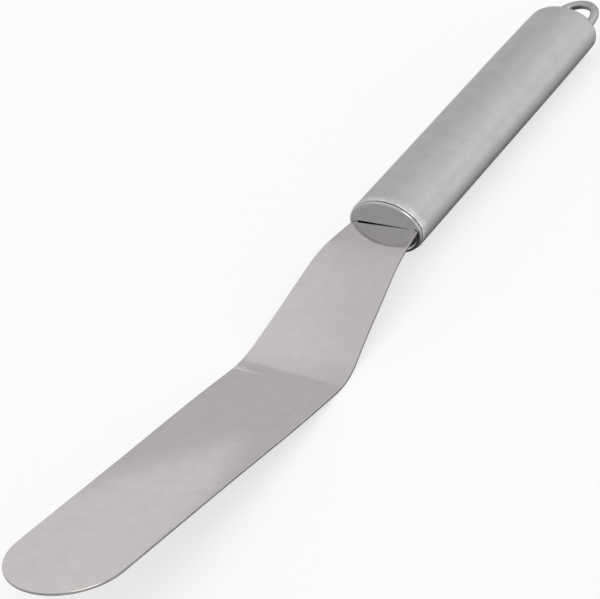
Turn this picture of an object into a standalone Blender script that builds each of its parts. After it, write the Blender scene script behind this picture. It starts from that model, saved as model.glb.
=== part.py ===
"""Offset palette knife, all stainless steel, lying at rest on its heel and on the end of its handle.

Every piece is modelled in the handle's own frame: the origin is the middle of the front cap's rim,
+Y runs back along the handle to the hanging loop, +X is across the blade and +Z is up out of the
blade's upper face. A parent empty then tips the knife a little, so that the heel bend and the rear
of the handle both touch the ground, and puts the origin under the middle of its footprint.
"""

import math

import bmesh
import bpy
import numpy as np
from mathutils import Matrix, Vector

MM = 0.001

# Handle: an oval tube that is closed by its own domed rear end.
HANDLE_WIDTH = 25.0 * MM
HANDLE_HEIGHT = 18.2 * MM
SHELL_MOUTH = 1.0 * MM  # where the tube starts, behind the cap's rim
SHELL_LENGTH = 116.6 * MM  # from the front of the cap's rim to the rear shoulder
SHELL_WALL = 0.6 * MM
MOUTH_ROUNDING = 0.6 * MM  # how far the edge curls back along the tube
MOUTH_LIP = 0.36 * MM  # how far the edge curls in
REAR_TAPER_LENGTH = 34.0 * MM
REAR_TAPER = 0.3 * MM  # how much narrower each side is at the rear
SHOULDER_RADIUS = 1.8 * MM
CROWN_HEIGHT = 2.2 * MM

# Front cap: a pressed cup with a rolled rim, whose skirt sits inside the tube.
CAP_FACE_WIDTH = 20.8 * MM
CAP_FACE_RECESS = 0.3 * MM  # of the flat face, behind the crest of the rim
CAP_CREST_WIDTH = 22.9 * MM
CAP_RIM_WIDTH = 24.5 * MM
CAP_RIM_DEPTH = 0.6 * MM
CAP_NECK_DEPTH = 1.2 * MM  # where the rim has closed in to the skirt
CAP_SKIRT_WIDTH = 23.0 * MM
CAP_SKIRT_DEPTH = 6.0 * MM
CAP_WALL = 0.7 * MM

# Blade: one sheet, cut to its outline in the flat and then bent twice.
SHEET = 0.8 * MM
NECK_TOP = 0.8 * MM  # height of the sheet's upper face over the handle's axis
TANG_WIDTH = 19.0 * MM
TANG_LENGTH = 40.0 * MM
TANG_END_RADIUS = 4.0 * MM
NECK_LENGTH = 8.5 * MM
CRANK_ANGLE = math.radians(-16.5)
CRANK_RADIUS = 44.4 * MM
STEM_LENGTH = 29.5 * MM
BLADE_ANGLE = math.radians(9.8)
HEEL_RADIUS = 26.1 * MM
BLADE_LENGTH = 110.8 * MM  # from the heel bend to the end of the tip
TIP_LENGTH = 16.9 * MM
# Widths of the flat blank, at distances from the cap's face as shares of the way to the tip's start.
BLANK_WIDTHS = (
    (0.0, 22.6 * MM),
    (0.095, 26.9 * MM),
    (0.18, 29.7 * MM),
    (0.26, 32.0 * MM),
    (0.36, 35.4 * MM),
    (0.44, 36.2 * MM),
    (0.75, 35.0 * MM),
    (1.0, 34.1 * MM),
)

# Hanging loop: round wire whose legs go through two holes in the rear end.
LOOP_WIRE = 2.75 * MM
LOOP_RADIUS = 7.5 * MM
LOOP_CENTRE = 6.1 * MM  # of the round part, beyond the rear shoulder
LOOP_LEAN = math.radians(9.0)  # its top leans towards the upper side
LOOP_ROLL = math.radians(-6.0)  # about the handle's axis: its left leg sits a little lower
LOOP_LEG_DEPTH = 7.0 * MM  # how far the legs reach inside

GAP = 0.3 * MM  # between pieces that touch on the real object
CUT_DEPTH = 4.0 * MM  # of the block that cuts the blade's slot

# Weld beads inside the handle.
TANG_BEAD = Vector((6.0, 0.9, 0.9)) * MM
LOOP_BEAD_RADIUS = 0.6 * MM

ROUND_STEPS = 48
SHARP_ANGLE = math.radians(40.0)
SETTLING_ROUNDS = 20


def clear_scene():
    for obj in list(bpy.data.objects):
        bpy.data.objects.remove(obj, do_unlink=True)


def new_collection(name):
    collection = bpy.data.collections.new(name)
    bpy.context.scene.collection.children.link(collection)
    return collection


def new_material(name, colour, roughness):
    """Bare metal with the given colour and roughness."""
    material = bpy.data.materials.new(name)
    material.use_nodes = True
    shader = material.node_tree.nodes["Principled BSDF"]
    shader.inputs["Base Color"].default_value = (*colour, 1.0)
    shader.inputs["Metallic"].default_value = 1.0
    shader.inputs["Roughness"].default_value = roughness
    return material


def add_piece(name, data, material=None):
    """A named piece in the knife's collection, under the empty that sets the knife down."""
    obj = bpy.data.objects.new(name, data)
    parts.objects.link(obj)
    obj.parent = rest_pose
    if material:
        data.materials.append(material)
    return obj


def add_cutter(name, obj, piece):
    """Cuts an object's shape out of a piece, and hides the object."""
    obj.name = name
    for collection in list(obj.users_collection):
        collection.objects.unlink(obj)
    cutters.objects.link(obj)
    obj.parent = rest_pose
    obj.hide_render = True
    obj.display_type = "WIRE"
    cut = piece.modifiers.new(name, "BOOLEAN")
    cut.operation = "DIFFERENCE"
    cut.solver = "EXACT"
    cut.object = obj


def thicken(piece, thickness):
    """Gives an open surface its wall, inwards from the outer face."""
    wall = piece.modifiers.new("wall", "SOLIDIFY")
    wall.thickness = thickness
    wall.offset = -1.0
    wall.use_even_offset = True


def oval_turning(name, profile):
    """Mesh turned from (half-width, distance along the axis) points, squashed to the handle's oval.

    The outer side of the profile runs from the rear to the front, which makes the faces point
    outwards, and it turns round an axis that ends up along +Y.
    """
    line = bpy.data.meshes.new(name + "_profile")
    line.from_pydata(
        [(half_width, 0.0, along) for half_width, along in profile],
        [(i, i + 1) for i in range(len(profile) - 1)],
        [],
    )
    lathe = bpy.data.objects.new(name + "_lathe", line)
    bpy.context.scene.collection.objects.link(lathe)
    screw = lathe.modifiers.new("turn", "SCREW")
    screw.axis = "Z"
    screw.steps = ROUND_STEPS
    screw.render_steps = ROUND_STEPS
    screw.use_merge_vertices = True
    screw.merge_threshold = 0.00001
    bpy.context.view_layer.update()
    shape = lathe.evaluated_get(bpy.context.evaluated_depsgraph_get())
    turned = bpy.data.meshes.new_from_object(shape)
    bpy.data.objects.remove(lathe)
    squash = Matrix.Diagonal((1.0, HANDLE_HEIGHT / HANDLE_WIDTH, 1.0, 1.0))
    lay_along_y = Matrix.Rotation(math.radians(-90.0), 4, "X")
    turned.transform(lay_along_y @ squash)
    turned.name = name
    turned.shade_smooth()
    turned.set_sharp_from_angle(angle=SHARP_ANGLE)
    return turned


def quarter_round(start, end, steps, width_first):
    """Points of a quarter ellipse between two profile points, without the first one.

    It sets off across the axis if the width changes first, and otherwise along the axis.
    """
    points = []
    for i in range(1, steps + 1):
        turn = math.pi / 2 * i / steps
        early, late = math.sin(turn), 1 - math.cos(turn)
        across, along = (early, late) if width_first else (late, early)
        half_width = start[0] + (end[0] - start[0]) * across
        points.append((half_width, start[1] + (end[1] - start[1]) * along))
    return points


def rear_half_width(along):
    """Half-width of the tube, which narrows slightly over its last stretch."""
    past = max(0.0, along - (SHELL_LENGTH - REAR_TAPER_LENGTH)) / REAR_TAPER_LENGTH
    return HANDLE_WIDTH / 2 - REAR_TAPER * past**2


def crown_height(half_width):
    """How far the rear end bulges beyond the shoulder, at a half-width."""
    flat = rear_half_width(SHELL_LENGTH) - SHOULDER_RADIUS
    return CROWN_HEIGHT * (1 - (half_width / flat) ** 2)


def loop_frame():
    """Placement of the hanging loop: its origin is the middle of the round part, +Y points away."""
    middle = Matrix.Translation((0.0, SHELL_LENGTH + LOOP_CENTRE, 0.0))
    return middle @ Matrix.Rotation(LOOP_ROLL, 4, "Y") @ Matrix.Rotation(LOOP_LEAN, 4, "X")


def make_handle_shell(material):
    """The tube with its domed rear end, and the two holes for the loop's legs."""
    end = rear_half_width(SHELL_LENGTH)
    flat = end - SHOULDER_RADIUS
    profile = []
    for share in (0.0, 0.25, 0.5, 0.75, 1.0):
        profile.append((flat * share, SHELL_LENGTH + crown_height(flat * share)))
    profile += quarter_round(profile[-1], (end, SHELL_LENGTH - SHOULDER_RADIUS), 4, True)
    taper_start = SHELL_LENGTH - REAR_TAPER_LENGTH
    for share in (0.65, 0.35, 0.0):
        along = taper_start + share * REAR_TAPER_LENGTH
        profile.append((rear_half_width(along), along))
    straight_end = (HANDLE_WIDTH / 2, SHELL_MOUTH + MOUTH_ROUNDING)
    mouth = (HANDLE_WIDTH / 2 - MOUTH_LIP, SHELL_MOUTH)
    profile += [straight_end, *quarter_round(straight_end, mouth, 3, False)]
    shell = add_piece("handle_shell", oval_turning("handle_shell", profile), material)
    thicken(shell, SHELL_WALL)
    stand_along = Matrix.Rotation(math.radians(90.0), 4, "X")
    for side, sign in (("left", -1), ("right", 1)):
        bpy.ops.mesh.primitive_cylinder_add(
            vertices=16, radius=LOOP_WIRE / 2 + GAP, depth=2 * LOOP_LEG_DEPTH
        )
        hole = bpy.context.object
        across = Matrix.Translation((sign * LOOP_RADIUS, -LOOP_CENTRE, 0.0))
        hole.data.transform(loop_frame() @ across @ stand_along)
        add_cutter(f"leg_hole_{side}", hole, shell)
    return shell


def make_front_cap(material):
    """The cup, turned from a closed section that starts and ends on the axis, and its slot."""
    back = CAP_FACE_RECESS + CAP_WALL
    inside = CAP_SKIRT_WIDTH / 2 - CAP_WALL
    corner = (inside - CAP_WALL, back)
    profile = [(0.0, back), corner, *quarter_round(corner, (inside, back + CAP_WALL), 3, True)]
    profile += [(inside, CAP_SKIRT_DEPTH), (CAP_SKIRT_WIDTH / 2, CAP_SKIRT_DEPTH)]
    profile += [(CAP_SKIRT_WIDTH / 2, CAP_NECK_DEPTH), (CAP_RIM_WIDTH / 2, CAP_RIM_DEPTH)]
    crest, face = CAP_CREST_WIDTH / 2, CAP_FACE_WIDTH / 2
    profile += quarter_round(profile[-1], (crest, 0.0), 4, False)
    for share in (0.25, 0.5, 0.75, 1.0):
        dip = CAP_FACE_RECESS * (1 - math.cos(math.pi * share)) / 2
        profile.append((crest + (face - crest) * share, dip))
    profile.append((0.0, CAP_FACE_RECESS))
    cap = add_piece("front_cap", oval_turning("front_cap", profile), material)
    bpy.ops.mesh.primitive_cube_add(size=1.0, location=(0.0, 0.0, NECK_TOP - SHEET / 2))
    slot = bpy.context.object
    slot_size = (TANG_WIDTH + 2 * GAP, CUT_DEPTH, SHEET + 2 * GAP, 1.0)
    slot.data.transform(Matrix.Diagonal(slot_size))
    add_cutter("blade_slot", slot, cap)
    return cap


def smooth_curve(stations, where):
    """Value at a place on the smooth curve through (place, value) stations, by cubic pieces."""
    place, value = (np.array(column) for column in zip(*stations))
    slope = np.gradient(value, place)
    i = int(np.clip(np.searchsorted(place, where) - 1, 0, len(place) - 2))
    width = place[i + 1] - place[i]
    t = (where - place[i]) / width
    return (
        value[i] * (1 + 2 * t) * (1 - t) ** 2
        + slope[i] * width * t * (1 - t) ** 2
        + value[i + 1] * t * t * (3 - 2 * t)
        + slope[i + 1] * width * t * t * (t - 1)
    )


# The flat blank is measured along the sheet from the cap's face: the tang is behind it, at minus.
CRANK_START = NECK_LENGTH
CRANK_END = CRANK_START + CRANK_RADIUS * abs(CRANK_ANGLE)
HEEL_START = CRANK_END + STEM_LENGTH
HEEL_END = HEEL_START + HEEL_RADIUS * (BLADE_ANGLE - CRANK_ANGLE)
BLANK_END = HEEL_END + BLADE_LENGTH
TIP_START = BLANK_END - TIP_LENGTH
SHOULDER = GAP  # the neck widens just in front of the cap...
SHOULDER_STEP = 0.2 * MM  # ...over this length
TIP_ROWS = 12


def blank_half_width(along):
    """Half the width of the flat blank at a distance along it."""
    if along < -TANG_LENGTH + TANG_END_RADIUS:
        corner = (-TANG_LENGTH + TANG_END_RADIUS - along) / TANG_END_RADIUS
        return TANG_WIDTH / 2 - TANG_END_RADIUS * (1 - math.sqrt(max(0.0, 1 - corner**2)))
    if along <= SHOULDER:
        return TANG_WIDTH / 2
    if along >= TIP_START:
        share = min(1.0, (along - TIP_START) / TIP_LENGTH)
        return BLANK_WIDTHS[-1][1] / 2 * math.sqrt(max(0.0, 1 - share**2))
    return smooth_curve(BLANK_WIDTHS, along / TIP_START) / 2


def sheet_place(along):
    """(y, z) of the upper face at a distance along the blank, after both bends."""
    y, z = -min(along, CRANK_START), NECK_TOP
    if along > CRANK_START:
        turn = min(1.0, (along - CRANK_START) / (CRANK_END - CRANK_START)) * abs(CRANK_ANGLE)
        y -= CRANK_RADIUS * math.sin(turn)
        z -= CRANK_RADIUS * (1 - math.cos(turn))
    if along > CRANK_END:
        run = min(along, HEEL_START) - CRANK_END
        y -= run * math.cos(CRANK_ANGLE)
        z += run * math.sin(CRANK_ANGLE)
    if along > HEEL_START:
        turned = min(1.0, (along - HEEL_START) / (HEEL_END - HEEL_START)) * (BLADE_ANGLE - CRANK_ANGLE)
        angle = CRANK_ANGLE + turned
        y -= HEEL_RADIUS * (math.sin(angle) - math.sin(CRANK_ANGLE))
        z += HEEL_RADIUS * (math.cos(CRANK_ANGLE) - math.cos(angle))
    if along > HEEL_END:
        run = along - HEEL_END
        y -= run * math.cos(BLADE_ANGLE)
        z += run * math.sin(BLADE_ANGLE)
    return y, z


def blank_rows():
    """Distances along the blank where the sheet has a row of vertices, close together on curves."""
    stretches = (
        (-TANG_LENGTH, -TANG_LENGTH + TANG_END_RADIUS, 4),
        (-TANG_LENGTH + TANG_END_RADIUS, SHOULDER, 2),
        (SHOULDER + SHOULDER_STEP, CRANK_START, 3),
        (CRANK_START, CRANK_END, 6),
        (CRANK_END, HEEL_START, 7),
        (HEEL_START, HEEL_END, 8),
        (HEEL_END, TIP_START, 10),
    )
    rows = []
    for start, end, steps in stretches:
        rows += [start + (end - start) * i / steps for i in range(steps + 1)]
    for i in range(1, TIP_ROWS + 1):
        rows.append(TIP_START + TIP_LENGTH * math.sin(math.pi / 2 * i / TIP_ROWS))
    return sorted({round(row, 7) for row in rows})


def make_blade(material):
    """The whole sheet, tang included: a grid laid along the bent blank, with a wall below it."""
    rows = blank_rows()
    columns = 4
    bm = bmesh.new()
    bmesh.ops.create_grid(bm, x_segments=columns, y_segments=len(rows) - 1, size=1.0)
    for vertex in bm.verts:
        row = rows[round((vertex.co.y + 1) / 2 * (len(rows) - 1))]
        y, z = sheet_place(row)
        vertex.co = (-vertex.co.x * blank_half_width(row), y, z)
    bmesh.ops.remove_doubles(bm, verts=bm.verts, dist=0.000001)
    bmesh.ops.recalc_face_normals(bm, faces=bm.faces)
    if sum(face.normal.z for face in bm.faces) < 0:
        bmesh.ops.reverse_faces(bm, faces=bm.faces)
    mesh = bpy.data.meshes.new("blade")
    bm.to_mesh(mesh)
    bm.free()
    mesh.shade_smooth()
    blade = add_piece("blade", mesh, material)
    thicken(blade, SHEET)
    return blade


def make_hanging_loop(material):
    """Half a ring of wire, with two straight legs that go down into the handle."""
    leg_end = -LOOP_CENTRE - LOOP_LEG_DEPTH
    arc = [math.pi * i / 16 for i in range(17)]
    route = [(-LOOP_RADIUS, leg_end)]
    route += [(-LOOP_RADIUS * math.cos(turn), LOOP_RADIUS * math.sin(turn)) for turn in arc]
    route += [(LOOP_RADIUS, leg_end)]
    wire = bpy.data.curves.new("hanging_loop", "CURVE")
    wire.dimensions = "3D"
    wire.bevel_depth = LOOP_WIRE / 2
    wire.bevel_resolution = 3
    wire.use_fill_caps = True
    line = wire.splines.new("POLY")
    line.points.add(len(route) - 1)
    for point, (x, y) in zip(line.points, route):
        point.co = (*(loop_frame() @ Vector((x, y, 0.0))), 1.0)
    return add_piece("hanging_loop", wire, material)


def make_tang_weld(name, height, material):
    """A bead across the back of the cap, above or below the tang."""
    bpy.ops.mesh.primitive_uv_sphere_add(segments=16, ring_count=8, radius=1.0)
    bead = bpy.context.object.data
    bpy.data.objects.remove(bpy.context.object)
    back_of_cap = CAP_FACE_RECESS + CAP_WALL + GAP + TANG_BEAD.y
    place = Matrix.Translation((0.0, back_of_cap, height))
    bead.transform(place @ Matrix.Diagonal((*TANG_BEAD, 1.0)))
    bead.shade_smooth()
    return add_piece(name, bead, material)


def make_loop_weld(name, side, material):
    """A ring of weld round a leg of the loop, against the inside of the rear end."""
    ring_radius = LOOP_WIRE / 2 + GAP + LOOP_BEAD_RADIUS
    crown = crown_height(LOOP_RADIUS + ring_radius)
    under_crown = crown - SHELL_WALL - 2 * GAP - LOOP_BEAD_RADIUS
    bpy.ops.mesh.primitive_torus_add(
        major_radius=ring_radius,
        minor_radius=LOOP_BEAD_RADIUS,
        major_segments=20,
        minor_segments=8,
    )
    bead = bpy.context.object.data
    bpy.data.objects.remove(bpy.context.object)
    middle = Matrix.Translation((side * LOOP_RADIUS, under_crown - LOOP_CENTRE, 0.0))
    bead.transform(loop_frame() @ middle @ Matrix.Rotation(math.radians(90.0), 4, "X"))
    bead.shade_smooth()
    return add_piece(name, bead, material)


def vertices_of(obj):
    """Places of an object's evaluated vertices, as an array."""
    shape = obj.evaluated_get(bpy.context.evaluated_depsgraph_get())
    mesh = shape.to_mesh()
    places = np.array([tuple(obj.matrix_world @ vertex.co) for vertex in mesh.vertices])
    shape.to_mesh_clear()
    return places


def set_down(front, rear, pieces):
    """Tips the knife until the front and rear pieces both touch the ground, and centres its box."""
    front_places, rear_places = vertices_of(front), vertices_of(rear)
    tip = 0.0
    for _ in range(SETTLING_ROUNDS):
        up = np.array([0.0, math.sin(tip), math.cos(tip)])
        low_front = front_places[(front_places @ up).argmin()]
        low_rear = rear_places[(rear_places @ up).argmin()]
        tip = math.atan2(low_front[2] - low_rear[2], low_rear[1] - low_front[1])
    rest_pose.rotation_euler.x = tip
    bpy.context.view_layer.update()
    places = np.vstack([vertices_of(piece) for piece in pieces])
    low, high = places.min(axis=0), places.max(axis=0)
    rest_pose.location = (0.0, -(low[1] + high[1]) / 2, -low[2])


clear_scene()
parts = new_collection("palette_knife")
cutters = new_collection("cutters")
rest_pose = bpy.data.objects.new("rest_pose", None)
parts.objects.link(rest_pose)

brushed = new_material("brushed_steel", (0.56, 0.55, 0.54), 0.38)
satin = new_material("satin_steel", (0.50, 0.49, 0.49), 0.42)
polished = new_material("polished_steel", (0.60, 0.60, 0.60), 0.22)
weld = new_material("weld_steel", (0.40, 0.39, 0.38), 0.5)

blade = make_blade(brushed)
front_cap = make_front_cap(polished)
handle_shell = make_handle_shell(satin)
hanging_loop = make_hanging_loop(polished)
above = NECK_TOP + GAP + TANG_BEAD.z
below = NECK_TOP - SHEET - GAP - TANG_BEAD.z
welds = [
    make_tang_weld("tang_weld_upper", above, weld),
    make_tang_weld("tang_weld_lower", below, weld),
    make_loop_weld("loop_weld_left", -1, weld),
    make_loop_weld("loop_weld_right", 1, weld),
]
bpy.context.view_layer.update()
set_down(blade, handle_shell, [blade, front_cap, handle_shell, hanging_loop, *welds])
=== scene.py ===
# %% [markdown]
# # An offset palette knife in stainless steel
#
# The knife is one bent sheet of steel (tang, neck, stem and blade), held by a hollow oval handle
# with a pressed cap in front and a wire loop behind. This lesson loads the measured CAD model as a
# fixed frame, and then builds a finer surface for each visible piece in the same place. Every new
# surface is a function of two parameters, worked out as whole numpy arrays.

# %% Load the frame
import math

import bpy
import numpy as np
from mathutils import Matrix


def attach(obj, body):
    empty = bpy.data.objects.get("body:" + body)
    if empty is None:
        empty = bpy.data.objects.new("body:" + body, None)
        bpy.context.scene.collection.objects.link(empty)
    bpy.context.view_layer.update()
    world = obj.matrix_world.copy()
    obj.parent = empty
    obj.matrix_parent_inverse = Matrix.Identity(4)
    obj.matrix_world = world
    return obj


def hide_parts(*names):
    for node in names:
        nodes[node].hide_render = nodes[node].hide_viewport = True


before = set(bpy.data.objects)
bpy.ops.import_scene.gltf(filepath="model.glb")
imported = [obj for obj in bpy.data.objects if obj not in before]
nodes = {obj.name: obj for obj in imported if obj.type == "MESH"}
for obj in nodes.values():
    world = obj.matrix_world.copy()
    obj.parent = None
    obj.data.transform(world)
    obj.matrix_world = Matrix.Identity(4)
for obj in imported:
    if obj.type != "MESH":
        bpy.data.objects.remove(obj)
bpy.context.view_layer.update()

print("pieces in the frame:", sorted(nodes))

# %% [markdown]
# ## Two helpers for geometry
#
# A surface on a grid needs only its points: each square of four neighbours is a face. One side of
# the grid, or both, may join up with itself, as round a tube. Where a whole row shrinks to one
# point, as at the tip of the blade, the doubles are merged, and the squares there become triangles.

# %% Grid to mesh
MM = 0.001


def surface(name, points, close_rows=False, close_columns=False):
    """Object from a rows x columns x 3 array. Face (i, j) joins points (i, j), (i, j+1),
    (i+1, j+1) and (i+1, j), counting past the end from the start again where a side is closed."""
    rows, columns = points.shape[:2]
    index = np.arange(rows * columns).reshape(rows, columns)
    if close_rows:
        index = np.vstack([index, index[:1]])
    if close_columns:
        index = np.hstack([index, index[:, :1]])
    corners = [index[:-1, :-1], index[:-1, 1:], index[1:, 1:], index[1:, :-1]]
    faces = np.stack(corners, axis=-1).reshape(-1, 4)
    mesh = bpy.data.meshes.new(name)
    mesh.from_pydata(points.reshape(-1, 3), [], faces)
    piece = bpy.data.objects.new(name, mesh)
    bpy.context.scene.collection.objects.link(piece)
    return piece


# %% [markdown]
# Merging the doubles can leave squares with two corners in one place, so those are dissolved too.
# The normals are then worked out afresh, which is safe here because every surface is one closed
# skin. Faces that meet at more than 35 degrees keep a crisp edge between them.

# %% Clean up a skin
import bmesh

DOUBLES = 0.001 * MM
CRISP_ANGLE = math.radians(35)


def clean_skin(piece):
    """Merges doubles, closes the poles, turns the faces outwards and shades them smooth."""
    skin = bmesh.new()
    skin.from_mesh(piece.data)
    bmesh.ops.remove_doubles(skin, verts=skin.verts, dist=DOUBLES)
    bmesh.ops.dissolve_degenerate(skin, edges=skin.edges, dist=DOUBLES)
    bmesh.ops.recalc_face_normals(skin, faces=skin.faces)
    open_edges = sum(not edge.is_manifold for edge in skin.edges)
    skin.to_mesh(piece.data)
    skin.free()
    piece.data.shade_smooth()
    piece.data.set_sharp_from_angle(angle=CRISP_ANGLE)
    triangles = sum(len(face.vertices) - 2 for face in piece.data.polygons)
    print(f"{piece.name}: {triangles} triangles, {open_edges} open edges")


# %% [markdown]
# ## The handle's own frame
#
# Lengths are easiest to give from the front of the handle, with +Y running back along it. At rest
# the knife lies on its heel bend and on the end of the handle, so the handle's frame is tipped by
# less than a degree. One function carries points over, and every piece below ends with it.

# %% From the handle's frame to the world
REST_TIP = math.radians(-0.80151)
REST_PLACE = np.array([0.0, 19.4848, 10.4866]) * MM


def rotated(u, v, angle):
    """(u cos a - v sin a, u sin a + v cos a)."""
    return u * math.cos(angle) - v * math.sin(angle), u * math.sin(angle) + v * math.cos(angle)


def at_rest(points):
    """Turns points about X by the tip t, to (x, y cos t - z sin t, y sin t + z cos t), and then
    moves them."""
    x, y, z = np.moveaxis(points, -1, 0)
    return np.stack([x, *rotated(y, z, REST_TIP)], axis=-1) + REST_PLACE


print(f"the handle is tipped by {math.degrees(REST_TIP):.2f} degrees to lie at rest")

# %% [markdown]
# ## The blade
#
# A real one starts as a flat blank, stamped from 0.8 mm sheet. The blank is then bent twice: down
# at the crank and up again at the heel. This is also the best way to model it. The outline is
# drawn in the flat, with x across and s along the sheet, and one bending function lays it out.

# %% The blank's measurements
SHEET = 0.8 * MM
NECK_TOP = 0.8 * MM
TANG_LENGTH, TANG_HALF_WIDTH, TANG_END = 40 * MM, 9.5 * MM, 4 * MM
# The neck widens at once outside the cap: a third of a millimetre of steep flare.
SHOULDER_START, SHOULDER_END, FLARE_END = -0.28 * MM, -0.22 * MM, 0.12 * MM
NECK_AT_CAP, NECK_FLARE = 10.3 * MM, 3.0
NECK_LENGTH = 8.5 * MM
CRANK_TURN, CRANK_RADIUS = math.radians(16.5), 44.4 * MM
STEM_LENGTH = 29.5 * MM
HEEL_TURN, HEEL_RADIUS = math.radians(16.5 + 9.8), 26.1 * MM
BLADE_LENGTH, TIP_LENGTH = 110.8 * MM, 16.9 * MM

CRANK_START = NECK_LENGTH
CRANK_END = CRANK_START + CRANK_RADIUS * CRANK_TURN
HEEL_START = CRANK_END + STEM_LENGTH
HEEL_END = HEEL_START + HEEL_RADIUS * HEEL_TURN
TIP_START = HEEL_END + BLADE_LENGTH - TIP_LENGTH
WIDTH_PLACES = np.array([0, 0.095, 0.18, 0.26, 0.36, 0.44, 0.75, 1]) * TIP_START
WIDTHS = np.array([22.6, 26.9, 29.7, 32.0, 35.4, 36.2, 35.0, 34.1]) * MM
print(f"the blank is {(TANG_LENGTH + TIP_START + TIP_LENGTH) / MM:.1f} mm long in the flat")


# %% [markdown]
# The outline's half-width is a smooth curve through a few stations. It could be a spline object,
# but a cubic in each interval that keeps the value and the slope at both ends needs four lines and
# takes a whole array at once.

# %% Outline of the blank
END_ROWS, TANG_ROWS, FLARE_ROWS, SHEET_ROWS = 25, 12, 5, 256


def smooth_curve(places, values, where):
    """Cubic pieces through (place, value) stations. With t the share of the interval, a piece is
    v0 (1+2t)(1-t)^2 + m0 w t (1-t)^2 + v1 t^2 (3-2t) + m1 w t^2 (t-1), where m0 and m1 are the
    slopes at its ends and w is its width."""
    slopes = np.gradient(values, places)
    i = np.clip(np.searchsorted(places, where) - 1, 0, len(places) - 2)
    width = places[i + 1] - places[i]
    t = (where - places[i]) / width
    start = values[i] * (1 + 2 * t) * (1 - t) ** 2 + slopes[i] * width * t * (1 - t) ** 2
    return start + values[i + 1] * t**2 * (3 - 2 * t) + slopes[i + 1] * width * t**2 * (t - 1)


def outline():
    """Half-width h and place s of the rows from the tang's end to the tip. Both ends are quarter
    ellipses, s = s0 + L sin(turn) and h = H cos(turn). Outside the cap h is the smaller of the
    smooth curve and a straight flare."""
    turn = np.linspace(0, math.pi / 2, END_ROWS)
    tang_s = -TANG_LENGTH + TANG_END * (1 - np.sin(turn[::-1]))
    tang_h = TANG_HALF_WIDTH * np.cos(turn[::-1])
    inside_s = np.linspace(-TANG_LENGTH + TANG_END, SHOULDER_START, TANG_ROWS)[1:]
    inside_h = np.full_like(inside_s, TANG_HALF_WIDTH)
    flare_s = np.linspace(SHOULDER_END, FLARE_END, FLARE_ROWS)[:-1]
    outside_s = np.concatenate([flare_s, np.linspace(FLARE_END, TIP_START, SHEET_ROWS)])
    flare = NECK_AT_CAP + NECK_FLARE * (outside_s - SHOULDER_END)
    outside_h = np.minimum(smooth_curve(WIDTH_PLACES, WIDTHS, outside_s) / 2, flare)
    tip_s = TIP_START + TIP_LENGTH * np.sin(turn[1:])
    tip_h = outside_h[-1] * np.cos(turn[1:])
    s = np.concatenate([tang_s, inside_s, outside_s, tip_s])
    h = np.concatenate([tang_h, inside_h, outside_h, tip_h])
    return s, np.maximum(h, 0)


print(f"the blank is {2 * outline()[1].max() / MM:.1f} mm wide at its widest")

# %% Bend the flat sheet
def bend(s, depth):
    """(y, z) of a point at s along the upper face and at a depth below it. The sheet's slope turns
    down evenly over the crank and up over the heel; y and z add up each stretch's own part:
    length x cos or sin on straights, radius x differences of sin or cos on bends."""
    crank = np.clip(s - CRANK_START, 0, CRANK_END - CRANK_START) / CRANK_RADIUS
    heel = np.clip(s - HEEL_START, 0, HEEL_END - HEEL_START) / HEEL_RADIUS
    slope = heel - crank
    stem = np.clip(s - CRANK_END, 0, STEM_LENGTH)
    blade = np.maximum(s - HEEL_END, 0)
    forward = np.minimum(s, CRANK_START) + CRANK_RADIUS * np.sin(crank) + stem * np.cos(CRANK_TURN)
    forward += HEEL_RADIUS * (np.sin(heel - CRANK_TURN) + np.sin(CRANK_TURN))
    forward += blade * np.cos(slope)
    z = NECK_TOP - CRANK_RADIUS * (1 - np.cos(crank)) - stem * np.sin(CRANK_TURN)
    z += HEEL_RADIUS * (np.cos(CRANK_TURN) - np.cos(heel - CRANK_TURN)) + blade * np.sin(slope)
    return -(forward + depth * np.sin(slope)), z - depth * np.cos(slope)


tip_y, tip_z = bend(TIP_START + TIP_LENGTH, 0.0)
print(f"the tip is {-tip_y / MM:.1f} mm ahead of the cap and {tip_z / MM:.1f} mm above the axis")

# %% [markdown]
# The edge of a stamped sheet isn't a perfect corner: tumbling leaves it rounded by about a tenth of
# a millimetre, and that thin round is what catches the light. So each row of the grid is a closed
# ring: over the upper face, round the edge, back under the lower face and round the other edge.
# The round follows the outline's own outward direction, so it's the same width round the tip.

# %% Make the blade
EDGE_ROUND = 0.16 * MM
FACE_COLUMNS, ROUND_COLUMNS = 40, 5
ON_AXIS = 1e-9  # metres: a point this close to the middle line is put on it


def blade_points():
    """Ring j of row i: inset outline + round x sin(a) outwards, at depth round x (1 - cos(a))."""
    s, h = outline()
    ds, dh = np.gradient(s), np.gradient(h)
    size = np.hypot(ds, dh)
    out_x, out_s = ds / size, -dh / size
    out_x[[0, -1]], out_s[0], out_s[-1] = 0, -1, 1
    inset_x, inset_s = np.maximum(h - EDGE_ROUND * out_x, 0), s - EDGE_ROUND * out_s
    turn = np.linspace(0, math.pi / 2, ROUND_COLUMNS)
    reach = EDGE_ROUND * np.concatenate([np.sin(turn), np.sin(turn[::-1])])
    upper_depth = EDGE_ROUND * (1 - np.cos(turn))
    depth = np.concatenate([upper_depth, SHEET - upper_depth[::-1]])
    across = np.cos(np.linspace(0, math.pi, FACE_COLUMNS))[1:-1]
    right_x = inset_x[:, None] + reach * out_x[:, None]
    edge_s = inset_s[:, None] + reach * out_s[:, None]
    face_x, face_s = inset_x[:, None] * across, np.repeat(inset_s[:, None], len(across), axis=1)
    x = np.hstack([right_x, face_x, -right_x[:, ::-1], -face_x])
    flat_s = np.hstack([edge_s, face_s, edge_s[:, ::-1], face_s])
    face_depth = np.zeros(len(across))
    d = np.concatenate([depth, face_depth + SHEET, depth[::-1], face_depth])
    y, z = bend(flat_s, d[None, :])
    x = np.where(np.isclose(x, 0, atol=ON_AXIS), 0, x)
    return np.stack([x, y, z], axis=-1)


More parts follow.
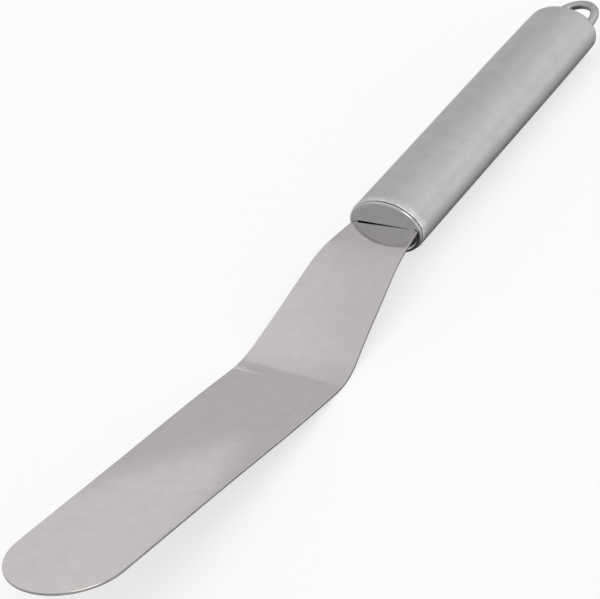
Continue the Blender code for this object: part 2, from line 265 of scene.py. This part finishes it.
blade_ring = blade_points()
blade = surface("palette_blade", at_rest(blade_ring), close_columns=True)
clean_skin(blade)

# %% [markdown]
# ## Oval turnings
#
# The cap and the handle both come from a press and a lathe, as round work that is then squashed to
# an oval. A profile of (half-width, distance back) points is turned about the axis and squashed.

# %% Turn a profile
HALF_WIDTH, HALF_HEIGHT = 12.5 * MM, 9.1 * MM
OVAL = HALF_HEIGHT / HALF_WIDTH
TURN_STEPS = 160


def quarter_round(start, end, steps, width_first):
    """Quarter ellipse from start to end: one coordinate goes as sin(a), the other as 1 - cos(a)."""
    turn = np.linspace(0, math.pi / 2, steps + 1)[1:]
    early, late = np.sin(turn), 1 - np.cos(turn)
    across, along = (early, late) if width_first else (late, early)
    shares = np.stack([across, along], axis=-1)
    return np.array(start) + (np.array(end) - np.array(start)) * shares


def turned(profile, steps=TURN_STEPS):
    """Point (i, j) is (w cos a, y, w sin a x oval) for profile point i = (w, y) and angle j = a."""
    angle = np.linspace(0, 2 * math.pi, steps, endpoint=False)
    width, along = profile[:, :1], profile[:, 1:]
    ring = [width * np.cos(angle), along + 0 * angle, width * OVAL * np.sin(angle)]
    return np.stack(ring, axis=-1)


print(f"the oval is {2 * HALF_WIDTH / MM:.1f} mm wide and {2 * HALF_HEIGHT / MM:.1f} mm high")

# %% [markdown]
# ## The handle
#
# A deep-drawn tube with its own closed rear end: flat sides, a slight taper over the last third, a
# shoulder of 1.8 mm and a low crown. The profile goes down the inside as well, so the wall is real
# and the rolled edge at the mouth has its thickness. The loop's wire simply passes through the
# crown: the two holes round its legs are too tight to be seen.

# %% Make the handle
SHELL_MOUTH, SHELL_LENGTH, SHELL_WALL = 1.0 * MM, 116.6 * MM, 0.6 * MM
MOUTH_ROUND, MOUTH_LIP = 0.6 * MM, 0.36 * MM
TAPER_LENGTH, TAPER = 34 * MM, 0.3 * MM
SHOULDER, CROWN = 1.8 * MM, 2.2 * MM
CROWN_RINGS, SHOULDER_RINGS, TUBE_RINGS, MOUTH_RINGS = 24, 14, 90, 8


def tube_half_width(y):
    """12.5 mm, less 0.3 mm x the square of the share of the tapered stretch already passed."""
    past = np.maximum(0, y - (SHELL_LENGTH - TAPER_LENGTH)) / TAPER_LENGTH
    return HALF_WIDTH - TAPER * past**2


def shell_profile():
    """Crown as a parabola, shoulder as a quarter ellipse, tube, mouth round, then the inside."""
    end = float(tube_half_width(SHELL_LENGTH))
    flat = end - SHOULDER
    share = np.linspace(0, 1, CROWN_RINGS)
    crown = np.stack([flat * share, SHELL_LENGTH + CROWN * (1 - share**2)], axis=-1)
    shoulder_end = SHELL_LENGTH - SHOULDER
    shoulder = quarter_round(crown[-1], (end, shoulder_end), SHOULDER_RINGS, True)
    y = np.linspace(shoulder_end, SHELL_MOUTH + MOUTH_ROUND, TUBE_RINGS)[1:]
    tube = np.stack([tube_half_width(y), y], axis=-1)
    lip = (HALF_WIDTH - MOUTH_LIP, SHELL_MOUTH)
    mouth = quarter_round(tube[-1], lip, MOUTH_RINGS, False)
    inside = np.stack([tube_half_width(y[::-1]) - SHELL_WALL, y[::-1]], axis=-1)
    within = crown[::-1] * [1 - SHELL_WALL / flat, 1] - [0, SHELL_WALL]
    return np.concatenate([crown, shoulder, tube, mouth, inside, within])


handle = surface("handle_tube", at_rest(turned(shell_profile())), close_columns=True)
clean_skin(handle)

# %% [markdown]
# ## The front cap
#
# A cup pressed from 0.7 mm sheet closes the tube. Its flat face lies 0.3 mm behind a rounded rim,
# and the blade comes out through a slot that is cut a little above the middle, not quite level.
# The slot could be cut with a Boolean, but here the whole cap is one closed band: the profile
# starts at the slot's edge on the back, runs round the skirt and the rim, and ends at the slot's
# edge on the front. Points on the flat faces lie on straight lines between the slot and the oval.

# %% Profile of the front cap
FACE, CREST, RIM = 10.4 * MM, 11.45 * MM, 12.25 * MM
RECESS, RIM_DEPTH, FLANGE_DEPTH = 0.3 * MM, 0.6 * MM, 1.2 * MM
SKIRT, SKIRT_DEPTH, CAP_WALL = 11.5 * MM, 6 * MM, 0.7 * MM
SLOT_HALF_LENGTH, SLOT_HALF_HEIGHT = 9.6 * MM, 0.65 * MM
SLOT_MIDDLE, SLOT_TIP = NECK_TOP - SHEET / 2, math.radians(1.3)
SLOT_SQUARENESS = 8
BEND_RINGS, RIM_RINGS, ROLL_RINGS, FACE_RINGS = 6, 10, 12, 10


def cap_profile():
    """Back of the face, skirt, flange, rim round, and the roll from the crest down to the face."""
    back = RECESS + CAP_WALL
    inside = SKIRT - CAP_WALL
    corner = (inside - CAP_WALL, back)
    bend_in = quarter_round(corner, (inside, back + CAP_WALL), BEND_RINGS, True)
    skirt = np.array([(inside, SKIRT_DEPTH), (SKIRT, SKIRT_DEPTH), (SKIRT, FLANGE_DEPTH)])
    rim = quarter_round((RIM, RIM_DEPTH), (CREST, 0), RIM_RINGS, False)
    share = np.linspace(0, 1, ROLL_RINGS)[1:]
    roll = [CREST + (FACE - CREST) * share, RECESS * (1 - np.cos(math.pi * share)) / 2]
    parts = [[corner], bend_in, skirt, [(RIM, RIM_DEPTH)], rim, np.stack(roll, axis=-1)]
    return np.concatenate(parts)


# %% The slot, and the cap's surface
def slot_ring(y):
    """Rounded oblong round the slot: x = a |cos|^(2/n), z = b |sin|^(2/n), with their signs, and
    z less x times the tangent of the slot's tip."""
    angle = np.linspace(0, 2 * math.pi, TURN_STEPS, endpoint=False)
    cos, sin = np.cos(angle), np.sin(angle)
    power = 2 / SLOT_SQUARENESS
    x = SLOT_HALF_LENGTH * np.sign(cos) * np.abs(cos) ** power
    z = SLOT_MIDDLE + SLOT_HALF_HEIGHT * np.sign(sin) * np.abs(sin) ** power
    z -= x * math.tan(SLOT_TIP)
    return np.stack([x, np.full(TURN_STEPS, y), z], axis=-1)


def cap_points():
    """The turned profile, with straight lines from the slot to its first and last rings."""
    rings = turned(cap_profile())
    share = np.linspace(0, 1, FACE_RINGS)[:-1, None, None]
    back_slot, front_slot = slot_ring(RECESS + CAP_WALL), slot_ring(RECESS)
    back = back_slot + (rings[0] - back_slot) * share
    front = rings[-1] + (front_slot - rings[-1]) * (1 - share[::-1])
    return np.concatenate([back, rings, front])


cap = surface("front_cap_cup", at_rest(cap_points()), close_rows=True, close_columns=True)
clean_skin(cap)

# %% [markdown]
# ## The hanging loop
#
# A 2.75 mm wire, bent to half a circle and pushed through the rear end. A tube round a path is the
# plainest surface there is: each path point carries a circle in the plane square to the path. The
# ends are closed by circles that shrink like the end of a rounded rod.

# %% Make the loop
WIRE, LOOP_RADIUS, LOOP_CENTRE = 2.75 * MM, 7.5 * MM, 6.1 * MM
LOOP_LEAN, LOOP_ROLL, LEG_DEPTH = math.radians(9), math.radians(6), 7 * MM
ARC_RINGS, LEG_RINGS, END_RINGS, WIRE_STEPS = 49, 13, 6, 32


def loop_path():
    """Leg, half circle (R cos a, R sin a) and leg, in the loop's plane, with unit tangents."""
    turn = np.linspace(math.pi, 0, ARC_RINGS)
    arc = LOOP_RADIUS * np.stack([np.cos(turn), np.sin(turn)], axis=-1)
    arc_tangent = np.stack([np.sin(turn), -np.cos(turn)], axis=-1)
    leg_y = np.linspace(-LOOP_CENTRE - LEG_DEPTH, 0, LEG_RINGS + 1)[:-1]
    left = np.stack([np.full(LEG_RINGS, -LOOP_RADIUS), leg_y], axis=-1)
    right = left[::-1] * [-1, 1]
    upwards = np.tile([0.0, 1.0], (LEG_RINGS, 1))
    tangent = np.concatenate([upwards, arc_tangent, -upwards])
    return np.concatenate([left, arc, right]), tangent


def loop_points():
    """Circle j round path point i: point + r (n cos a + z sin a), n square to the tangent. All of
    it is then turned about X by the lean and about Y by the roll."""
    path, tangent = loop_path()
    ease = np.linspace(0, math.pi / 2, END_RINGS + 1)[:-1]
    shrink = np.concatenate([np.sin(ease), np.ones(len(path)), np.sin(ease[::-1])])
    back = -np.cos(ease)[:, None] * WIRE / 2
    start, end = path[0] + tangent[0] * back, path[-1] - tangent[-1] * back[::-1]
    path = np.concatenate([start, path, end])
    tangent = np.pad(tangent, ((END_RINGS, END_RINGS), (0, 0)), mode="edge")
    angle = np.linspace(0, 2 * math.pi, WIRE_STEPS, endpoint=False)
    radius = (WIRE / 2 * shrink)[:, None]
    x = path[:, :1] + tangent[:, 1:] * radius * np.cos(angle)
    y = path[:, 1:] - tangent[:, :1] * radius * np.cos(angle)
    z = radius * np.sin(angle)
    y, z = rotated(y, z, LOOP_LEAN)
    x, z = rotated(x, z, LOOP_ROLL)
    return np.stack([x, SHELL_LENGTH + LOOP_CENTRE + y, z], axis=-1)


loop = surface("wire_loop", at_rest(loop_points()), close_columns=True)
clean_skin(loop)

# %% [markdown]
# ## Helpers for materials
#
# Colours are written as sRGB hex values, as a colour picker shows them, and turned to the linear
# values that the shader works in. One function adds any node, with its settings and its links. A
# socket is given by its name, or by its number where several share a name, as on a Mix node.

# %% Colour and node helpers
def linear(hex_colour):
    """sRGB to linear: c / 12.92 below 0.04045, else ((c + 0.055) / 1.055) to the power 2.4."""
    srgb = np.array([int(hex_colour[i : i + 2], 16) / 255 for i in (1, 3, 5)])
    low, high = srgb / 12.92, ((srgb + 0.055) / 1.055) ** 2.4
    return (*np.where(srgb <= 0.04045, low, high), 1.0)


# In a Mix node for colours, the two colours are inputs 6 and 7, and the result is output 2.
FIRST_COLOUR, SECOND_COLOUR, MIXED_COLOUR = 6, 7, 2


def add_node(tree, kind, sockets=None, **settings):
    """Adds a node; each socket gets a value, or a link when the value is another node's output."""
    node = tree.nodes.new(kind)
    for name, value in settings.items():
        setattr(node, name, value)
    for name, value in (sockets or {}).items():
        if isinstance(value, bpy.types.NodeSocket):
            tree.links.new(value, node.inputs[name])
        else:
            node.inputs[name].default_value = value
    return node


def empty_material(name):
    """A material with no nodes in it, and its tree."""
    material = bpy.data.materials.new(name)
    material.use_nodes = True
    material.node_tree.nodes.clear()
    return material, material.node_tree


print(f"half-way in sRGB, #808080, is {linear('#808080')[0]:.3f} in linear light")

# %% [markdown]
# ## Stainless steel, brushed and polished
#
# All of it is 18/10 stainless steel, and only the surface differs. Bare metal has no colour under
# its gloss: the base colour is what it reflects, a neutral grey a little warmer than silver. What
# the eye reads as the finish is roughness, and its pattern:
#
# - the handle is satin, ground along its length, with a soft cloudy unevenness a few millimetres
#   across, and a smoother patchy band at its mouth, where it was buffed after the cap went in; its
#   paleness there is a painted sheen;
# - the blade is fine-brushed along its length and nearly mirror-bright beneath;
# - the cap and the wire are bright, the cap smoother than the wire.
#
# So one pattern serves them all: fine lines drawn out along the knife, mixed with a cloud on a
# scale of millimetres. A little of it goes into the roughness, the colour and a very shallow bump.
# Real brush lines are some 0.05 mm apart, too fine to show, so they're drawn five times as coarse.

# %% Lines and cloud
LINE_SPACING, LINE_STRETCH = 0.25 * MM, 50
CLOUD_SIZE = 4.5 * MM
FINE_DETAIL, CLOUD_DETAIL, CLOUD_ROUGHNESS = 3.0, 5.0, 0.6
PATTERN_LOW, PATTERN_HIGH = 0.36, 0.64  # the pattern's usual range, spread over dark to light


def lines_and_cloud(tree, place, lines):
    """(1 - lines) x cloud + lines x noise at (x, y / 50, z), each in its own size."""
    across, along = 1 / LINE_SPACING, 1 / LINE_SPACING / LINE_STRETCH
    stretched = {"Vector": place, "Scale": (across, along, across)}
    drawn_out = add_node(tree, "ShaderNodeMapping", stretched).outputs[0]
    sockets = {"Vector": drawn_out, "Scale": 1.0, "Detail": FINE_DETAIL}
    fine = add_node(tree, "ShaderNodeTexNoise", sockets).outputs["Fac"]
    sockets = {"Vector": place, "Scale": 1 / CLOUD_SIZE, "Detail": CLOUD_DETAIL,
               "Roughness": CLOUD_ROUGHNESS}
    cloud = add_node(tree, "ShaderNodeTexNoise", sockets).outputs["Fac"]
    return add_node(tree, "ShaderNodeMix", {"Factor": lines, "A": cloud, "B": fine}).outputs[0]


print(f"lines {LINE_SPACING / MM:.2f} mm apart, in a cloud of {CLOUD_SIZE / MM:.1f} mm")

# %% The buffed band, paler by a painted sheen
PATCH_SIZE, PATCH_DETAIL = 1.6 * MM, 2.0
PATCH_LOW, PATCH_HIGH = 0.35, 0.6
BUFFED_SMOOTHER = -0.18


def buffed_sheen_share(tree, place, start, end, share):
    """Share at y = start, falling smoothly to 0 at y = end, times patches from 0 to 1."""
    along = add_node(tree, "ShaderNodeSeparateXYZ", {"Vector": place}).outputs["Y"]
    sockets = {"Value": along, "From Min": end, "From Max": start, "To Max": share}
    band = add_node(tree, "ShaderNodeMapRange", sockets, interpolation_type="SMOOTHSTEP")
    sockets = {"Vector": place, "Scale": 1 / PATCH_SIZE, "Detail": PATCH_DETAIL}
    noise = add_node(tree, "ShaderNodeTexNoise", sockets)
    sockets = {"Value": noise.outputs["Fac"], "From Min": PATCH_LOW, "From Max": PATCH_HIGH}
    patches = add_node(tree, "ShaderNodeMapRange", sockets)
    sockets = {0: band.outputs[0], 1: patches.outputs[0]}
    return add_node(tree, "ShaderNodeMath", sockets, operation="MULTIPLY").outputs[0]


def buff_and_paint_sheen(tree, place, base, dullness, buffed_with_sheen):
    """Colour mixed towards a paler one, a painted sheen, by the band's share, and roughness less
    0.18 times it.
    """
    start, end, share, painted_sheen_colour = buffed_with_sheen
    patch = buffed_sheen_share(tree, place, start, end, share)
    sockets = {"Factor": patch, FIRST_COLOUR: base, SECOND_COLOUR: linear(painted_sheen_colour)}
    blend = add_node(tree, "ShaderNodeMix", sockets, data_type="RGBA")
    sockets = {0: patch, 1: BUFFED_SMOOTHER, 2: dullness}
    smoother = add_node(tree, "ShaderNodeMath", sockets, operation="MULTIPLY_ADD")
    return blend.outputs[MIXED_COLOUR], smoother.outputs[0]


print(f"buffed patches are {PATCH_SIZE / MM:.1f} mm across")

# %% One recipe for worked steel
def worked_steel(name, light, dark, roughness, spread, lines, bump, buffed_with_sheen=None):
    """Metal with a light and a dark colour, a roughness and its spread, the share of lines and the
    bump's depth. A band of buffing is smoother, and paler by a painted sheen: (start y, end y,
    share, colour)."""
    material, tree = empty_material(name)
    place = add_node(tree, "ShaderNodeTexCoord").outputs["Object"]
    pattern = lines_and_cloud(tree, place, lines)
    colour = add_node(tree, "ShaderNodeValToRGB", {"Fac": pattern})
    stops = colour.color_ramp.elements
    stops[0].position, stops[0].color = PATTERN_LOW, linear(dark)
    stops[1].position, stops[1].color = PATTERN_HIGH, linear(light)
    sockets = {"Value": pattern, "From Min": PATTERN_LOW, "From Max": PATTERN_HIGH,
               "To Min": roughness + spread, "To Max": roughness - spread}
    dullness = add_node(tree, "ShaderNodeMapRange", sockets).outputs[0]
    base = colour.outputs[0]
    if buffed_with_sheen:
        base, dullness = buff_and_paint_sheen(tree, place, base, dullness, buffed_with_sheen)
    sockets = {"Height": pattern, "Strength": 1.0, "Distance": bump}
    relief = add_node(tree, "ShaderNodeBump", sockets).outputs[0]
    sockets = {"Base Color": base, "Metallic": 1.0, "Roughness": dullness, "Normal": relief}
    shader = add_node(tree, "ShaderNodeBsdfPrincipled", sockets)
    add_node(tree, "ShaderNodeOutputMaterial", {"Surface": shader.outputs[0]})
    print("finish:", name)
    return material


# %% The finishes
# Ground satin: broad soft reflections, with a smoother band at the mouth, paler by a painted sheen.
BUFFED_MOUTH_WITH_SHEEN = (20.4 * MM, 24.0 * MM, 0.85, "#ECEAEA")
satin_tube = worked_steel("satin_ground_stainless", "#CAC8C9", "#C0BEBF", roughness=0.33,
                          spread=0.04, lines=0.3, bump=0.002 * MM, buffed_with_sheen=BUFFED_MOUTH_WITH_SHEEN)
# Fine-brushed sheet: a mirror with a soft focus.
brushed_blade = worked_steel("fine_brushed_stainless", "#D4D0CF", "#CEC9C9", roughness=0.075,
                             spread=0.012, lines=0.45, bump=0.0006 * MM)
# Sheared edge: dull and darker, torn rather than polished.
sheared_edge = worked_steel("sheared_edge_stainless", "#A09E9C", "#8A8886", roughness=0.4,
                            spread=0.05, lines=0.5, bump=0.004 * MM)
# Pressed cap: bright from the die, and a little softer than the blade.
cap_face = worked_steel("pressed_cap_stainless", "#CCCCCD", "#C6C6C7", roughness=0.14,
                        spread=0.02, lines=0.2, bump=0.0005 * MM)
# Drawn wire: lightly polished, with a soft streak of light along it.
bright_wire = worked_steel("polished_wire_stainless", "#BFBFC0", "#B4B4B6", roughness=0.24,
                           spread=0.04, lines=0.3, bump=0.001 * MM)
# Weld bead: left as it cooled, uneven and dull.
weld_bead = worked_steel("weld_bead_stainless", "#A3A09C", "#7F7A74", roughness=0.42,
                         spread=0.08, lines=0.1, bump=0.02 * MM)

# %% [markdown]
# The stamped edge of the blade is a second finish on the same piece: shearing leaves it dull and
# darker than the rolled faces. Faces are sorted by their direction: an edge face points along the
# sheet, not out of it, so its normal has little in common with the sheet's own.

# %% Give the blade its two finishes
EDGE_SHARE = 0.35
SHORTEST = 1e-12  # keeps a direction of no length from being divided by zero


def sheet_normals(y):
    """Direction out of the upper face at a place y along the knife, read from the middle column."""
    column = at_rest(blade_ring)[:, 2 * ROUND_COLUMNS + (FACE_COLUMNS - 2) // 2]
    run = np.gradient(column, axis=0)
    normal = np.cross(run, [1.0, 0.0, 0.0])
    normal /= np.maximum(np.linalg.norm(normal, axis=1, keepdims=True), SHORTEST)
    order = np.argsort(column[:, 1])
    parts = [np.interp(y, column[order, 1], normal[order, k]) for k in range(3)]
    return np.stack(parts, axis=-1)


def paint_edges(piece, share):
    """Slot 1 for faces whose normal has less than that share in common with the sheet's."""
    count = len(piece.data.polygons)
    normals, centres = np.zeros(count * 3), np.zeros(count * 3)
    piece.data.polygons.foreach_get("normal", normals)
    piece.data.polygons.foreach_get("center", centres)
    normals, centres = normals.reshape(-1, 3), centres.reshape(-1, 3)
    in_common = np.abs((normals * sheet_normals(centres[:, 1])).sum(axis=1))
    edge = (in_common < share).astype(np.int32)
    piece.data.polygons.foreach_set("material_index", edge)
    print(f"{edge.sum()} of {count} faces are on the sheared edge")


blade.data.materials.append(brushed_blade)
blade.data.materials.append(sheared_edge)
paint_edges(blade, EDGE_SHARE)
handle.data.materials.append(satin_tube)
cap.data.materials.append(cap_face)
loop.data.materials.append(bright_wire)

# %% [markdown]
# The weld beads inside the handle keep their CAD shapes, which are right as they are. Only their
# material is replaced, in the slot that each node already has.

# %% Welds, and what each piece stands for
WELDS = ("tang_weld_upper", "tang_weld_lower", "loop_weld_left", "loop_weld_right")
for name in WELDS:
    nodes[name].data.materials.clear()
    nodes[name].data.materials.append(weld_bead)

STANDS_FOR = (
    (blade, "blade", "blade_steel"),
    (cap, "front_cap", "cap_steel"),
    (handle, "handle_shell", "shell_steel"),
    (loop, "hanging_loop", "wire_steel"),
)
for piece, node, slot in STANDS_FOR:
    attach(piece, "root")
    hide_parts(node)
    print(piece.name, "stands for", node)

# %% [markdown]
# ## The studio
#
# Polished steel shows nothing but what is round it, so the studio is half of the look. A silk is
# stretched over the table, and lamps behind it make soft patches of light, round ones and ones cut
# off by straight flags. The table is white for the camera. In the steel a greyer card of the same
# size stands in for it, with the table's light and shade painted on it in bands: black or grey card
# laid beside bright metal gives it an outline.

# %% Table
TABLE_SIZE = 3.0
TABLE_TONE, TABLE_GLOW = "#8C8C8C", 0.70
MATT_ROUGHNESS = 0.9


def matt(name):
    """Matt material without any gloss, its tree and its shader."""
    material, tree = empty_material(name)
    sockets = {"Roughness": MATT_ROUGHNESS, "Specular IOR Level": 0.0}
    shader = add_node(tree, "ShaderNodeBsdfPrincipled", sockets)
    add_node(tree, "ShaderNodeOutputMaterial", {"Surface": shader.outputs[0]})
    return material, tree, shader


def level_sheet(name, half, height, material):
    """A level square, which is part of the stage and not of the object."""
    corners = np.array([[[-half, -half, height], [half, -half, height]],
                        [[-half, half, height], [half, half, height]]])
    sheet = surface(name, corners)
    sheet.data.materials.append(material)
    sheet.visible_shadow = False
    print(f"{name}: {2 * half:.1f} m square, {height / MM:.2f} mm up")
    return sheet


acrylic, _, shader = matt("backlit_white_acrylic")
shader.inputs["Base Color"].default_value = linear(TABLE_TONE)
shader.inputs["Emission Color"].default_value = linear("#FFFFFF")
shader.inputs["Emission Strength"].default_value = TABLE_GLOW
white_table = level_sheet("table", TABLE_SIZE / 2, 0.0, acrylic)
white_table.visible_glossy = False

# %% [markdown]
# The card's grey runs across the table in bands of painted light and shade: a dark band of painted
# shadow under the handle draws its lower edge, and paler ones lie on both sides. In front of the
# blade it is pale all over.

# %% Card that the steel sees, with painted shade
CARD_REACH = 0.06  # metres on each side of the middle line, over which the tones are spread
# The #707070 band is painted shadow under the handle; the tones round it are the table's painted
# light and shade.
CARD_PAINTED_SHADE = ((0.45, "#707070"), (0.57, "#707070"), (0.66, "#C8C8C8"))
CARD_LEFT, CARD_RIGHT = (0.25, "#CACACA"), (0.96, "#F2F2F2")
PALE_FROM, PALE_BY, PALE_TONE = -0.13, -0.16, "#F2F2F2"
CARD_LIFT = 0.02 * MM

card, tree, shader = matt("card_with_painted_shade")
place = add_node(tree, "ShaderNodeTexCoord").outputs["Object"]
axes = add_node(tree, "ShaderNodeSeparateXYZ", {"Vector": place})
sockets = {"Value": axes.outputs["X"], "From Min": -CARD_REACH, "From Max": CARD_REACH}
across = add_node(tree, "ShaderNodeMapRange", sockets)
tone = add_node(tree, "ShaderNodeValToRGB", {"Fac": across.outputs[0]})
stops = tone.color_ramp.elements
for stop, (position, shade) in zip(stops, (CARD_LEFT, CARD_RIGHT)):
    stop.position, stop.color = position, linear(shade)
for position, shade in CARD_PAINTED_SHADE:
    stops.new(position).color = linear(shade)
sockets = {"Value": axes.outputs["Y"], "From Min": PALE_FROM, "From Max": PALE_BY}
ahead = add_node(tree, "ShaderNodeMapRange", sockets)
sockets = {"Factor": ahead.outputs[0], FIRST_COLOUR: tone.outputs[0],
           SECOND_COLOUR: linear(PALE_TONE)}
mixed = add_node(tree, "ShaderNodeMix", sockets, data_type="RGBA")
tree.links.new(mixed.outputs[MIXED_COLOUR], shader.inputs["Base Color"])
seen_in_steel = level_sheet("table_seen_in_steel", TABLE_SIZE / 2, CARD_LIFT, card)
seen_in_steel.visible_camera = False
seen_in_steel.visible_diffuse = False

# %% [markdown]
# Each lamp adds its glow to the silk's own. A round lamp fades towards its rim. A flagged lamp is
# a wedge between two straight shades that start from one point, and it reaches only so far
# forward. Its straight borders are what the flat of the blade shows as a diagonal.

# %% Lamps behind the silk
SILK_HEIGHT, SILK_SIZE, SILK_GLOW = 0.2, 1.1, 0.64
# Round lamps: centre x and y, radius, share of the radius that fades, added glow.
ROUND_LAMPS = (
    (-0.060, -0.060, 0.310, 0.28, 0.08),
    (-0.060, -0.060, 0.240, 1.0, 0.09),
    (0.220, 0.320, 0.430, 1.0, 0.36),
    (0.145, -0.175, 0.120, 0.40, 3.4),
)
# Flagged lamps: tip x and y, then for each flag the direction in degrees in which its shade ends
# and half the width of the blurred edge, and last the added glow.
FLAGGED_LAMPS = (
    (-0.192, 0.230, 0.0, 0.007, 197.9, 0.018, 0.09),
    (-0.2945, 0.3415, -17.2, 0.006, 200.8, 0.005, 0.20),
)
FLAGGED_REACH, REACH_BLUR = 0.25, 0.03
print(len(ROUND_LAMPS), "round lamps and", len(FLAGGED_LAMPS), "flagged lamps")


# %% The shapes of their light
def measured_from(tree, x, y, turn, size):
    """Sockets for a place on the silk as measured from (x, y), along axes turned by that many
    degrees."""
    place = add_node(tree, "ShaderNodeTexCoord").outputs["Object"]
    return {"Vector": place, "Location": (x, y, SILK_HEIGHT), "Scale": (size, size, 1.0),
            "Rotation": (0, 0, math.radians(turn))}


def round_lamp(tree, x, y, radius, fading):
    """1 inside, and a smooth step down to 0 over the fading share of the radius."""
    sockets = measured_from(tree, x, y, 0, radius)
    spot = add_node(tree, "ShaderNodeMapping", sockets, vector_type="TEXTURE").outputs[0]
    ball = add_node(tree, "ShaderNodeTexGradient", {"Vector": spot}, gradient_type="SPHERICAL")
    sockets = {"Value": ball.outputs["Fac"], "From Min": 0.0, "From Max": fading}
    return add_node(tree, "ShaderNodeMapRange", sockets, interpolation_type="SMOOTHSTEP").outputs[0]


def straight_shade(tree, x, y, turn, axis, low, high):
    """0 before low and 1 past high, along one axis of the turned place, with a smooth step."""
    sockets = measured_from(tree, x, y, turn, 1.0)
    spot = add_node(tree, "ShaderNodeMapping", sockets, vector_type="TEXTURE").outputs[0]
    axes = add_node(tree, "ShaderNodeSeparateXYZ", {"Vector": spot})
    sockets = {"Value": axes.outputs[axis], "From Min": low, "From Max": high}
    return add_node(tree, "ShaderNodeMapRange", sockets, interpolation_type="SMOOTHSTEP").outputs[0]


def flagged_lamp(tree, x, y, turn_1, blur_1, turn_2, blur_2):
    """Product of the two flags' shades and of the forward limit."""
    first = straight_shade(tree, x, y, turn_1, "X", -blur_1, blur_1)
    second = straight_shade(tree, x, y, turn_2, "X", -blur_2, blur_2)
    low, high = -FLAGGED_REACH - REACH_BLUR, -FLAGGED_REACH + REACH_BLUR
    near = straight_shade(tree, x, y, 0, "Y", low, high)
    wedge = add_node(tree, "ShaderNodeMath", {0: first, 1: second}, operation="MULTIPLY").outputs[0]
    return add_node(tree, "ShaderNodeMath", {0: wedge, 1: near}, operation="MULTIPLY").outputs[0]


# %% Hang the silk
silk, tree = empty_material("lit_silk")
glow = SILK_GLOW
lamps = [(round_lamp(tree, *lamp[:-1]), lamp[-1]) for lamp in ROUND_LAMPS]
lamps += [(flagged_lamp(tree, *lamp[:-1]), lamp[-1]) for lamp in FLAGGED_LAMPS]
for share, added in lamps:
    sockets = {0: share, 1: added, 2: glow}
    glow = add_node(tree, "ShaderNodeMath", sockets, operation="MULTIPLY_ADD").outputs[0]
sockets = {"Color": linear("#FFFFFF"), "Strength": glow}
lit = add_node(tree, "ShaderNodeEmission", sockets)
add_node(tree, "ShaderNodeOutputMaterial", {"Surface": lit.outputs[0]})
overhead = level_sheet("overhead_silk", SILK_SIZE / 2, SILK_HEIGHT, silk)
overhead.visible_camera = False
overhead.visible_diffuse = False

# %% [markdown]
# The room is dimmer on the left than on the right, which shades the handle across. What the camera
# sees of it directly is one pale tone, so that the table has no horizon.

# %% Room light, and a lamp for the table
WALL_DIM, WALL_BRIGHT, WALL_BRIGHT_FROM, BACKDROP = 0.64, 0.92, 0.6, 0.955
TABLE_LAMP_SIZE, TABLE_LAMP_HEIGHT, TABLE_LAMP_WATTS = 1.6, 1.1, 6.0

room = bpy.data.worlds.new("studio_room")
bpy.context.scene.world = room
room.use_nodes = True
tree = room.node_tree
direction = add_node(tree, "ShaderNodeTexCoord").outputs["Generated"]
toward = add_node(tree, "ShaderNodeSeparateXYZ", {"Vector": direction}).outputs["X"]
sockets = {"Value": toward, "From Min": 0.0, "From Max": WALL_BRIGHT_FROM,
           "To Min": WALL_DIM, "To Max": WALL_BRIGHT}
wall = add_node(tree, "ShaderNodeMapRange", sockets).outputs[0]
seen = add_node(tree, "ShaderNodeLightPath").outputs["Is Camera Ray"]
strength = add_node(tree, "ShaderNodeMix", {"Factor": seen, "A": wall, "B": BACKDROP})
background = tree.nodes["Background"]
background.inputs["Color"].default_value = linear("#FFFFFF")
tree.links.new(strength.outputs[0], background.inputs["Strength"])

lamp_data = bpy.data.lights.new("table_lamp", "AREA")
lamp_data.shape, lamp_data.size, lamp_data.energy = "SQUARE", TABLE_LAMP_SIZE, TABLE_LAMP_WATTS
lamp = bpy.data.objects.new("table_lamp", lamp_data)
lamp.location = (0, 0, TABLE_LAMP_HEIGHT)
lamp.visible_glossy = False
bpy.context.scene.collection.objects.link(lamp)
bpy.context.scene.view_settings.view_transform = "Standard"
print(f"room {WALL_DIM} to {WALL_BRIGHT}, table lamp {TABLE_LAMP_WATTS} W")

# %% [markdown]
# ## Camera
#
# A long lens from the right, in front and above, turned a little so that the knife lies across the
# picture from corner to corner.

# %% Camera
SENSOR_WIDTH, LENS = 36.0, 134.381  # millimetres
CAMERA_PLACE, CAMERA_TURNS = (0.34103, -0.41141, 0.36562), (54.8672, 13.3036, 32.2477)

camera_data = bpy.data.cameras.new("camera")
camera_data.sensor_width, camera_data.lens = SENSOR_WIDTH, LENS
camera = bpy.data.objects.new("camera", camera_data)
bpy.context.scene.collection.objects.link(camera)
camera.location = CAMERA_PLACE
camera.rotation_euler = [math.radians(turn) for turn in CAMERA_TURNS]
bpy.context.scene.camera = camera
print(f"camera {math.dist(CAMERA_PLACE, (0, 0, 0)):.2f} m away, {LENS} mm lens")
